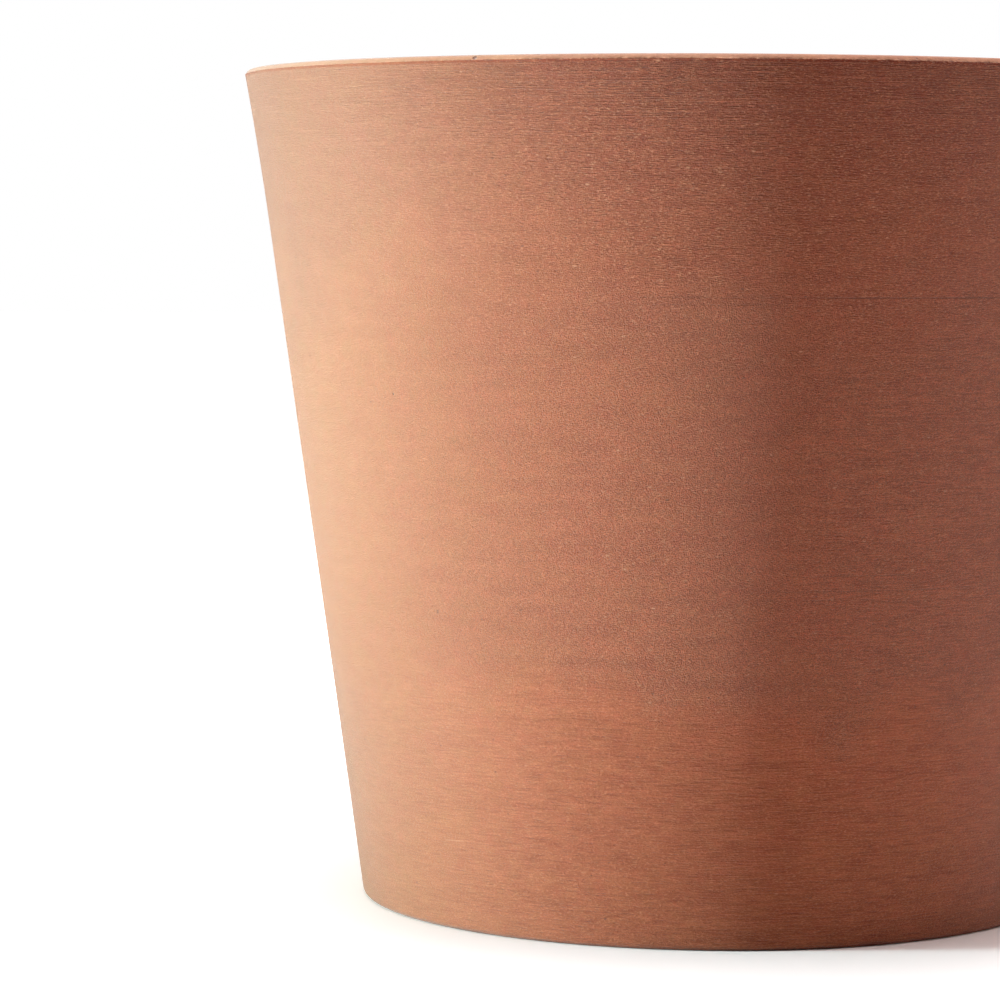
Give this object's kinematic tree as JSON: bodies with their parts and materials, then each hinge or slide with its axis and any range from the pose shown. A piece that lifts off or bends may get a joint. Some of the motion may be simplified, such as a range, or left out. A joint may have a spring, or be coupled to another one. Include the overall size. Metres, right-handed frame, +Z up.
{
  "type": "cachepot",
  "caption": "Round cachepot with a straight taper, a flat rim, a recessed foot ring, and a rubber drain plug that lifts out of a seat in its floor.",
  "frame": {"origin": "on the pot's axis, at the height of the surface that the foot ring stands on", "axes": "+Z up along the pot's axis; the shell is the same all round, and the plug's grip tab runs along X"},
  "size_m": [0.2, 0.2, 0.177],
  "materials": {
    "stone_plastic": "matte terracotta-coloured plastic filled with stone powder, with fine turning lines round it and small pale and dark flecks",
    "rubber": "black moulded rubber, dull, with a fine grain"
  },
  "bodies": {
    "pot": {"pot_shell": "stone_plastic"},
    "plug": {"drain_plug": "rubber"}
  },
  "joints": [
    {"name": "plug_lift", "type": "slide", "parent": "pot", "child": "plug", "axis": [0, 0, 1], "range_m": [0, 0.18]}
  ]
}
